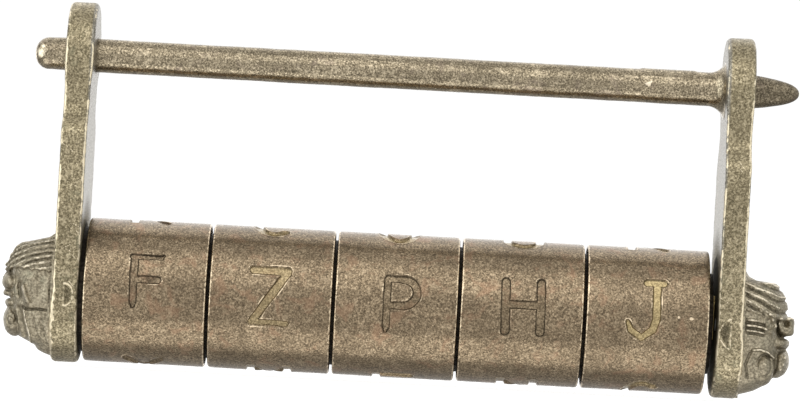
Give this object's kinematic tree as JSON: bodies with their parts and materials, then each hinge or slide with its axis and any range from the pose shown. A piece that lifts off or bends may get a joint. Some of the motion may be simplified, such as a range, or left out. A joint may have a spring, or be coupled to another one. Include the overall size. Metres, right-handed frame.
{
  "type": "letter-wheel combination padlock",
  "caption": "Keyless padlock with engraved letter wheels on a slotted spindle between end plates with cast beast heads, and a straight shackle rod that slides out when the letters line up.",
  "frame": {"origin": "on the shackle rod's axis, midway between the end plates' inner faces", "axes": "+X along the rod and the wheels, towards the shackle half that slides out; -Y is the front, where the row of letters reads; +Z from the wheels up to the rod"},
  "size_m": [0.0982, 0.0176, 0.0445],
  "materials": {
    "bronze_wheel": "antique bronze, satin, brown with fine gold speckle",
    "bronze_plate": "antique brass, satin, edges rubbed to pale gold",
    "bronze_rod": "antique bronze, satin, speckled",
    "bronze_head": "cast antique bronze, dark in the hollows",
    "raw_brass": "machined brass",
    "dark_spacer": "blackened brass",
    "steel_fittings": "plain steel"
  },
  "bodies": {
    "case": {"left_end_plate": "bronze_plate", "left_beast_head": "bronze_head", "left_head_pins": "steel_fittings", "spindle": "raw_brass", "spindle_clip": "steel_fittings", "wheel_spacer_1": "dark_spacer", "wheel_spacer_2": "dark_spacer", "wheel_spacer_3": "dark_spacer", "wheel_spacer_4": "dark_spacer"},
    "shackle": {"right_end_plate": "bronze_plate", "right_beast_head": "bronze_head", "right_head_pins": "steel_fittings", "shackle_rod": "bronze_rod", "comb_bar": "raw_brass"},
    "wheel_1": {"wheel_1_letter_ring": "bronze_wheel", "wheel_1_gate": "raw_brass"},
    "wheel_2": {"wheel_2_letter_ring": "bronze_wheel", "wheel_2_gate": "raw_brass"},
    "wheel_3": {"wheel_3_letter_ring": "bronze_wheel", "wheel_3_gate": "raw_brass"},
    "wheel_4": {"wheel_4_letter_ring": "bronze_wheel", "wheel_4_gate": "raw_brass"},
    "wheel_5": {"wheel_5_letter_ring": "bronze_wheel", "wheel_5_gate": "raw_brass"}
  },
  "joints": [
    {"name": "shackle_slide", "type": "slide", "parent": "case", "child": "shackle", "axis": [1, 0, 0], "range_m": [0, 0.08]},
    {"name": "wheel_1_turn", "type": "hinge", "parent": "case", "child": "wheel_1", "pos_m": [-0.03093, 0, -0.02886], "axis": [1, 0, 0], "continuous": true},
    {"name": "wheel_2_turn", "type": "hinge", "parent": "case", "child": "wheel_2", "pos_m": [-0.01558, 0, -0.02886], "axis": [1, 0, 0], "continuous": true},
    {"name": "wheel_3_turn", "type": "hinge", "parent": "case", "child": "wheel_3", "pos_m": [-0.00022, 0, -0.02886], "axis": [1, 0, 0], "continuous": true},
    {"name": "wheel_4_turn", "type": "hinge", "parent": "case", "child": "wheel_4", "pos_m": [0.01512, 0, -0.02886], "axis": [1, 0, 0], "continuous": true},
    {"name": "wheel_5_turn", "type": "hinge", "parent": "case", "child": "wheel_5", "pos_m": [0.03047, 0, -0.02886], "axis": [1, 0, 0], "continuous": true}
  ]
}
